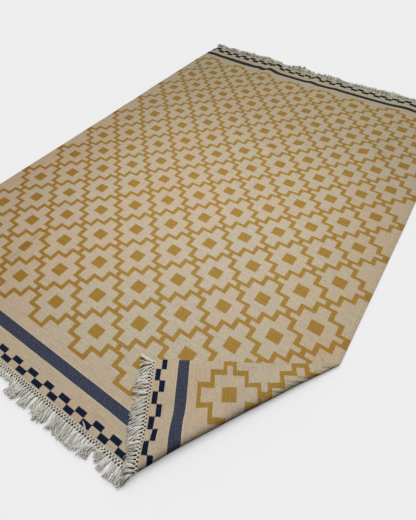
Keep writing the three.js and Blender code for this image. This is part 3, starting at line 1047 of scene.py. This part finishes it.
FAR_TASSELS = table("across length lean rise", [
    (-0.840, 0.052, -0.45, 45),
    (-0.800, 0.050, -0.30, 45),
    (-0.745, 0.034, 0.00, 20),
    (-0.700, 0.050, -0.20, 35),
    (-0.642, 0.034, 0.15, 10),
    (-0.597, 0.050, -0.10, 45),
    (-0.550, 0.050, 0.15, 45),
    (-0.516, 0.036, 0.00, 10),
    (-0.459, 0.050, 0.00, 45),
    (-0.413, 0.054, 0.10, 55),
    (-0.368, 0.038, -0.20, 10),
    (-0.330, 0.014, 0.00, 0),
    (-0.260, 0.012, 0.20, 0),
    (-0.234, 0.030, 0.30, 5),
    (-0.207, 0.052, 0.10, 50),
    (-0.168, 0.056, 0.05, 62),
    (-0.126, 0.056, -0.10, 62),
    (-0.087, 0.050, 0.10, 45),
    (-0.064, 0.038, 0.00, 10),
    (-0.017, 0.038, -0.10, 10),
    (0.039, 0.050, 0.10, 45),
    (0.066, 0.056, 0.00, 60),
    (0.107, 0.054, 0.05, 58),
    (0.155, 0.038, 0.20, 10),
    (0.190, 0.022, 0.00, 0),
    (0.272, 0.038, -0.10, 10),
    (0.380, 0.046, 0.15, 20),
    (0.520, 0.048, -0.10, 10),
    (0.660, 0.050, 0.10, 25),
    (0.840, 0.048, 0.15, 10),
])
# A tassel with a few strands turned back over the cloth.
TURNED_BACK = {"across": 0.316, "length": 0.044, "lean": -1.30, "rise": 40, "onwards": 1.0}
TURNED_BACK_STRANDS = 2


# Each yarn has a cell of its own in the bake's map, with its side as a rectangle and its two
# ends as ovals under and over it.
SIDE_CORNER = np.array([0.08, 0.12])
SIDE_SIZE = np.array([0.84, 0.74])
OVAL_MIDDLE = np.array([0.50, 0.06])
OVAL_REACH = np.array([0.30, 0.04])
OVALS_APART = np.array([0.00, 0.87])


class YarnMesh:
    """Gathers round yarns into one mesh."""

    def __init__(self):
        self.batches = []

    def add(self, paths, radii, sides, lots):
        """Paths are yarns by points by xyz, radii one number or yarns by points, and lots a shade
        for each yarn."""
        self.batches.append((paths, np.broadcast_to(radii, paths.shape[:2]), sides, lots))

    def build(self, name, material):
        yarns = sum(len(paths) for paths, *_ in self.batches)
        columns = math.ceil(math.sqrt(yarns * 4))
        rows = math.ceil(yarns / columns)

        def in_cell(number, place):
            cell = np.stack([number % columns, number // columns], -1)
            return (cell + place) / (columns, rows)

        vertices, faces, yarn_uv, bake_uv, shades = [], [], [], [], []
        first_vertex, first_yarn = 0, 0
        for paths, radii, sides, lots in self.batches:
            rings = tube_rings(paths, radii, sides)
            rings[..., 2] = np.maximum(rings[..., 2], 0)  # flattened where they press the floor
            count, steps = paths.shape[:2]
            vertices.append(rings.reshape(-1, 3))
            shades.append(np.repeat(lots, steps * sides))
            lengths = np.linalg.norm(np.diff(paths, axis=1), axis=2)
            reached = np.concatenate([np.zeros((count, 1)), lengths.cumsum(axis=1)], axis=1)
            numbers = np.arange(count), np.arange(steps - 1), np.arange(sides)
            yarn, step, side = np.meshgrid(*numbers, indexing="ij")
            corners, yarn_places, bake_places = [], [], []
            for step_on, side_on in ((0, 0), (0, 1), (1, 1), (1, 0)):
                ring = yarn * steps + step + step_on
                corners.append(ring * sides + (side + side_on) % sides)
                around = (side + side_on) / sides
                share = (step + step_on) / (steps - 1)
                yarn_places.append(np.stack([around, reached[yarn, step + step_on]], -1))
                place = SIDE_CORNER + SIDE_SIZE * np.stack([around, share], -1)
                bake_places.append(in_cell(first_yarn + yarn, place))
            faces += (np.stack(corners, -1).reshape(-1, 4) + first_vertex).tolist()
            yarn_uv.append(np.stack(yarn_places, -2).reshape(-1, 2))
            bake_uv.append(np.stack(bake_places, -2).reshape(-1, 2))
            yarn = np.arange(count)[:, None]
            for end, side in ((0, np.arange(sides)[::-1]), (steps - 1, np.arange(sides))):
                faces += ((yarn * steps + end) * sides + side + first_vertex).tolist()
                turn = 2 * np.pi * side / sides
                oval = OVAL_MIDDLE + OVAL_REACH * np.stack([np.cos(turn), np.sin(turn)], -1)
                oval = oval + OVALS_APART * (end > 0)
                bake_uv.append(in_cell(first_yarn + yarn, oval).reshape(-1, 2))
                around = np.tile(side / sides, count)
                yarn_uv.append(np.stack([around, np.repeat(reached[:, end], sides)], -1))
            first_vertex += count * steps * sides
            first_yarn += count
        maps = {"Yarn": np.concatenate(yarn_uv), "OFBake": np.concatenate(bake_uv)}
        piece = add_piece(name, np.concatenate(vertices), faces, material, maps)
        lot = piece.data.attributes.new("lot", "FLOAT", "POINT")
        lot.data.foreach_set("value", np.concatenate(shades).astype(np.float32))
        return piece


def tube_rings(paths, radii, sides):
    """Rings of vertices round each path: yarns by points by sides by xyz."""
    tangents = unit(np.gradient(paths, axis=1))
    heading = paths[:, -1] - paths[:, 0]
    level = np.cross(heading, [0.0, 0.0, 1.0])
    upright = np.linalg.norm(level, axis=1, keepdims=True) < 1e-4
    level = unit(np.where(upright, [1.0, 0.0, 0.0], level))[:, None]
    sideways = unit(level - tangents * (level * tangents).sum(-1, keepdims=True))
    upwards = np.cross(sideways, tangents)
    turn = 2 * np.pi * np.arange(sides) / sides
    ring = np.cos(turn)[:, None] * sideways[:, :, None] + np.sin(turn)[:, None] * upwards[:, :, None]
    return paths[:, :, None] + ring * radii[:, :, None, None]


def rested(points, radius):
    """Lifts points of yarns so that they lie on what is under them."""
    low = support(points[..., 0], points[..., 1]) + radius
    return np.concatenate([points[..., :2], np.maximum(points[..., 2], low)[..., None]], -1)


def end_place(across, past_end, end):
    """Where points past one end of the cloth lie: end is -1 for the near one, +1 for the far."""
    return uneven(across, end * (HALF_LENGTH + past_end))


def add_cords(net, starts, finishes, end, sag, radius, lots):
    """Short cords between two sets of places, each (across, past_end)."""
    share = np.linspace(0, 1, CORD_STEPS)
    across = starts[0][:, None] + (finishes[0] - starts[0])[:, None] * share
    past_end = starts[1] + (finishes[1] - starts[1]) * share
    x, y = end_place(across, np.broadcast_to(past_end, across.shape), end)
    _, _, off_face = lay_directions(x, y)
    bow = sag * np.sin(np.pi * share)[:, None]
    net.add(rested(lay(x, y) + off_face * bow, CORD_RADIUS), radius, CORD_SIDES, lots)


def knot_net(name, end, material):
    """Two rows of knots past one end of the cloth and the cords that run into them."""
    count = round(CLOTH_WIDTH / KNOT_PITCH)
    pitch = CLOTH_WIDTH / count
    first = -HALF_WIDTH + pitch * (np.arange(count) + 0.5)
    second = -HALF_WIDTH + pitch * np.arange(1, count)
    edges = np.array([first[0], first[-1]])
    net = YarnMesh()
    for offset in (-1, 0, 1):
        out_of = first + offset * pitch / 3
        into = first + offset * CORDS_PINCHED
        lots = rng.uniform(0.2, 0.8, count)
        add_cords(net, (out_of, -CORDS_INSIDE), (into, FIRST_KNOT), end, 0.0003, CORD_RADIUS, lots)
    for out_of, into, sag in (
        (first[1:], second, 0.0006),
        (first[:-1], second, 0.0006),
        (edges, edges, 0.0004),
    ):
        lots = rng.uniform(0.3, 0.9, len(into))
        ends = (out_of, FIRST_KNOT), (into, SECOND_KNOT)
        add_cords(net, *ends, end, sag, CROSSING_RADIUS, lots)
    add_knots(net, first, FIRST_KNOT, end)
    add_shade_thread(net, FIRST_KNOT, end, FIRST_THREAD_RADIUS)
    add_knots(net, np.append(second, edges), SECOND_KNOT, end)
    add_shade_thread(net, SECOND_KNOT, end, SECOND_THREAD_RADIUS)
    return net.build(name, material)


def add_knots(net, places, past_end, end):
    """Each knot is a short fat body with one turn of cord round it, a little askew."""
    count = len(places)
    wander = rng.normal(0, KNOT_WANDER, (2, count))
    x, y = end_place(places + wander[0], past_end + wander[1], end)
    across, along, off_face = lay_directions(x, y)
    middle = rested(lay(x, y) + off_face * KNOT_LIFT, KNOT_RADIUS)
    skew = rng.uniform(-0.5, 0.5, count)[:, None]
    axis = unit(along * end + across * skew)
    side = unit(np.cross(off_face, axis))
    reach = values_of(KNOT_SHAPE, "along") * KNOT_RADIUS * KNOT_STRETCH
    size = rng.uniform(0.88, 1.12, count)[:, None]
    body = middle[:, None] + axis[:, None] * reach[:, None]
    fatness = values_of(KNOT_SHAPE, "radius") * KNOT_RADIUS
    net.add(body, fatness * size, KNOT_SIDES, rng.uniform(0.3, 0.9, count))
    turn = np.linspace(0, 2 * np.pi, WRAP_POINTS)
    tilt = rng.uniform(0.3, 0.9, count)[:, None, None] * np.sign(skew)[:, None]
    ring = np.cos(turn)[:, None] * side[:, None] + np.sin(turn)[:, None] * off_face[:, None]
    ring = ring + axis[:, None] * tilt * np.cos(turn)[:, None]
    wrap = middle[:, None] + ring * (KNOT_RADIUS * WRAP_AT * size)[:, :, None]
    net.add(wrap, WRAP_RADIUS, YARN_SIDES, rng.uniform(0.4, 1.0, count))


def add_shade_thread(net, past_end, end, radius):
    """Two uneven plies of black thread that lie side by side behind a row of knots, put there as
    painted shade in the net's holes.
    """
    edge = HALF_WIDTH - KNOT_PITCH / 2
    across = np.linspace(-edge, edge, round(CLOTH_WIDTH / KNOT_PITCH) * 3)
    for ply in (-1, 1):
        thickness = radius * (1 + THREAD_UNEVEN * np.sin(across * THREAD_PULSE + ply))
        wave = 1.1 * radius * ply + rng.normal(0, THREAD_WANDER, len(across))
        x, y = end_place(across, past_end + wave, end)
        path = rested(lay(x, y) - [0, 0, KNOT_RADIUS * 0.8], radius)
        net.add(path[None], thickness[None], YARN_SIDES, np.array([SHADE_THREAD_LOT]))


def tassels(name, end, rows, material):
    """Locks of strands that run out from the second row of knots and come down onto what is
    under them. The near end has one lock more, of a few strands turned back over the cloth."""
    knots = round(CLOTH_WIDTH / KNOT_PITCH)
    pitch = CLOTH_WIDTH / knots
    places = -HALF_WIDTH + pitch * np.arange(knots + 1)
    places[[0, -1]] = places[[0, -1]] + np.array([1, -1]) * LAST_TASSELS_IN * pitch
    lie = {"across": places, "onwards": np.full(knots + 1, float(end))}
    for column in ("length", "lean", "rise"):
        lie[column] = between_rows(rows, "across", column, places)
    lie["length"] = lie["length"] * rng.normal(1, LENGTH_SPREAD, knots + 1)
    lie["lean"] = lie["lean"] + rng.normal(0, LEAN_SPREAD, knots + 1)
    lie["rise"] = lie["rise"] + rng.normal(0, RISE_SPREAD, knots + 1)
    if end < 0:
        lie = {column: np.append(lie[column], TURNED_BACK[column]) for column in lie}
    middles, sides = tassel_middles(lie, end)

    count = len(middles)
    share = np.linspace(0, 1, STRAND_STEPS)
    own_length = 1 - np.abs(rng.normal(0, STRAND_SPREAD, (count, STRANDS)))
    reached = share * own_length[..., None] * (STRAND_STEPS - 1)
    step = np.minimum(reached.astype(int), STRAND_STEPS - 2)
    part = (reached - step)[..., None]
    tassel = np.arange(count)[:, None, None]
    paths = middles[tassel, step] * (1 - part) + middles[tassel, step + 1] * part
    sides = sides[tassel, step]

    radius = between_rows(LOCK_WIDTHS, "share", "radius", share)
    first_turn = rng.uniform(0, 2 * np.pi, (count, 1, 1))
    turn = first_turn + 2 * np.pi * np.arange(STRANDS)[:, None] / STRANDS + TWIST * share
    stray = rng.normal(0, STRAY, (count, STRANDS, 1)) * share**2
    pile = rng.uniform(0, 1, (count, 1, 1)) ** 1.5 * PILE_HEIGHT * np.minimum(1, share * 3)
    paths = paths + sides * (radius * np.cos(turn) + stray)[..., None]
    above = radius * 0.6 * (1 + np.sin(turn)) + pile
    low = support(paths[..., 0], paths[..., 1]) + STRAND_RADIUS
    paths[..., 2] = np.maximum(paths[..., 2], low) + above

    # Locks lying lower in the pile get darker lots, as painted shade; the rest of each lot is a
    # chance tone.
    high = np.broadcast_to(pile[..., -1] / PILE_HEIGHT, (count, STRANDS))
    lots = high * 0.7 + rng.uniform(0, 0.6, (count, STRANDS)) * 0.6
    kept = np.ones((count, STRANDS), bool)
    if end < 0:
        kept[-1, TURNED_BACK_STRANDS:] = False
    radii = STRAND_RADIUS * rng.uniform(0.85, 1.15, (kept.sum(), 1))
    radii = radii * np.concatenate([[0.9], np.ones(STRAND_STEPS - 3), [0.85, 0.3]])
    yarns = YarnMesh()
    yarns.add(paths[kept], radii, YARN_SIDES, lots[kept])
    return yarns.build(name, material)


def tassel_middles(lie, end):
    """The middle of each lock at even steps along it, and the level direction square to it. A
    lock heads onwards: 1 or -1 along the cloth."""
    count = len(lie["across"])
    x, y = end_place(lie["across"], SECOND_KNOT, end)
    across, along, off_face = lay_directions(x, y)
    upwards = np.array([0.0, 0.0, 1.0])
    outwards = unit(along * lie["onwards"][:, None] + across * lie["lean"][:, None])
    rise = np.radians(lie["rise"])[:, None]
    heading = unit(outwards * np.cos(rise) + upwards * np.sin(rise))
    point = rested(lay(x, y), STRAND_RADIUS)
    curl = rng.normal(0, CURL, count)
    wiggle = rng.uniform(0, 2 * np.pi, count)
    step = (lie["length"] / (STRAND_STEPS - 1))[:, None]
    middles = [point]
    sides = [unit(np.cross(heading, upwards))]
    for number in range(1, STRAND_STEPS):
        share = number / (STRAND_STEPS - 1)
        sideways = unit(np.cross(heading, upwards))
        bend = curl * share + WAVINESS * np.sin(wiggle + WAVE_TURN * share)
        heading = unit(heading + step * (sideways * bend[:, None] - upwards * DROOP))
        reached = rested(point + heading * step, STRAND_RADIUS)
        heading = unit(reached - point)
        point = reached
        middles.append(point)
        sides.append(sideways)
    return np.stack(middles, 1), np.stack(sides, 1)


def shifted(piece):
    """Moves a piece's mesh from the pattern's origin to the frame's."""
    piece.data.transform(Matrix.Translation(Vector(SHIFT)))
    return piece


# ---------------------------------------------------------------- floor, light and camera
CAMERA_AT = (0.7188, -1.1610, 1.0749)  # from the pattern's origin
CAMERA_LOOKS_AT = (0.2514, -0.4959, 0.0040)
CAMERA_ROLL = -0.906  # degrees, anticlockwise
CAMERA_LENS = 23.48
CAMERA_SENSOR = 36.0
LIGHT_OVER = (0.15, -0.26, 1.75)
LIGHT_ACROSS = 0.55
LIGHT_POWER = 20.5
FILL_STRENGTH = 0.445  # from straight above, and less towards the horizon
FILL_FULL_FROM = 0.75  # the sine of the height from which it is full
FILL_FROM_BELOW = 0.005
FILL_FROM_BEHIND = 0.75  # how much more of it comes from behind the fold than from its front
FLOOR_LIGHT_STRENGTH = 2.2
FLOOR_LIGHT_SPREAD = 80  # degrees
FLOOR_HALF = 6.0
FLOOR_COLOUR = (0.80, 0.80, 0.80)
BACKDROP_STRENGTH = 0.82  # what is seen past the floor, without lighting anything


def add_camera():
    camera = add_object("camera", bpy.data.cameras.new("camera"))
    camera.data.sensor_width = CAMERA_SENSOR
    camera.data.lens = CAMERA_LENS
    view = Vector(CAMERA_LOOKS_AT) - Vector(CAMERA_AT)
    turned = view.to_track_quat("-Z", "Y").to_matrix().to_4x4()
    roll = Matrix.Rotation(math.radians(CAMERA_ROLL), 4, "Z")
    place = Matrix.Translation(Vector(CAMERA_AT) + Vector(SHIFT))
    camera.matrix_world = place @ turned @ roll
    bpy.context.scene.camera = camera


def add_floor():
    material, tree, shader = new_material("pale_floor", roughness=1.0, specular=0.0)
    shader.inputs["Base Color"].default_value = (*FLOOR_COLOUR, 1.0)
    corners = np.array([(-1, -1, 0), (1, -1, 0), (1, 1, 0), (-1, 1, 0)])
    floor = add_piece("floor", FLOOR_HALF * corners, [range(4)], material, {})
    floor.visible_diffuse = False  # the cloth's underside is lit by the dim lower sky instead
    return floor


def add_light(name, kind, power, floor, state):
    """A light that falls on the floor alone (INCLUDE), or on all but the floor (EXCLUDE)."""
    light = add_object(name, bpy.data.lights.new(name, kind))
    light.data.energy = power
    receivers = bpy.data.collections.new(name + "_receivers")
    receivers.objects.link(floor)
    receivers.collection_objects[0].light_linking.link_state = state
    light.light_linking.receiver_collection = receivers
    return light


def add_lights(floor):
    """A softbox over the cloth, and an even light from above that keeps the floor pale all over."""
    softbox = add_light("softbox", "AREA", LIGHT_POWER, floor, "EXCLUDE")
    softbox.data.shape = "DISK"
    softbox.data.size = LIGHT_ACROSS
    softbox.location = LIGHT_OVER
    floor_light = add_light("floor_light", "SUN", FLOOR_LIGHT_STRENGTH, floor, "INCLUDE")
    floor_light.data.angle = math.radians(FLOOR_LIGHT_SPREAD)
    world = bpy.data.worlds.new("studio")
    world.use_nodes = True
    tree = world.node_tree
    place = add_node(tree, "TexCoord", {})
    parts = add_node(tree, "SeparateXYZ", {0: place.outputs["Generated"]})
    x, y, z = (Signal(tree, parts.outputs[axis]) for axis in "XYZ")
    in_front = x * FOLD_OUT[0] + y * FOLD_OUT[1]
    above = z.fade(0.0, FILL_FULL_FROM) * (in_front * -FILL_FROM_BEHIND + 1.0)
    fill = above * (FILL_STRENGTH - FILL_FROM_BELOW) + FILL_FROM_BELOW
    seen = Signal(tree, add_node(tree, "LightPath", {}).outputs["Is Camera Ray"])
    strength = fill + seen * (fill * -1.0 + BACKDROP_STRENGTH)
    tree.links.new(strength.socket, tree.nodes["Background"].inputs["Strength"])
    tree.nodes["Background"].inputs["Color"].default_value = (1.0, 1.0, 1.0, 1.0)
    bpy.context.scene.world = world
    bpy.context.scene.view_settings.view_transform = "Standard"


# ---------------------------------------------------------------- the scene
add_camera()
add_lights(add_floor())

cloth = kilim_cloth(kilim_material())
knotted, clean, grubby = (yarn_material(**cotton) for cotton in COTTONS)
near_pieces = [
    shifted(knot_net("near_net", -1, knotted)),
    shifted(tassels("near_tassels", -1, NEAR_TASSELS, clean)),
]
far_pieces = [
    shifted(knot_net("far_net", 1, knotted)),
    shifted(tassels("far_tassels", 1, FAR_TASSELS, grubby)),
]

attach(cloth, "root")
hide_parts("kilim_cloth")
for pieces, node in ((near_pieces, "fringe_near"), (far_pieces, "fringe_far")):
    for piece in pieces:
        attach(piece, "root")
        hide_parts(node)
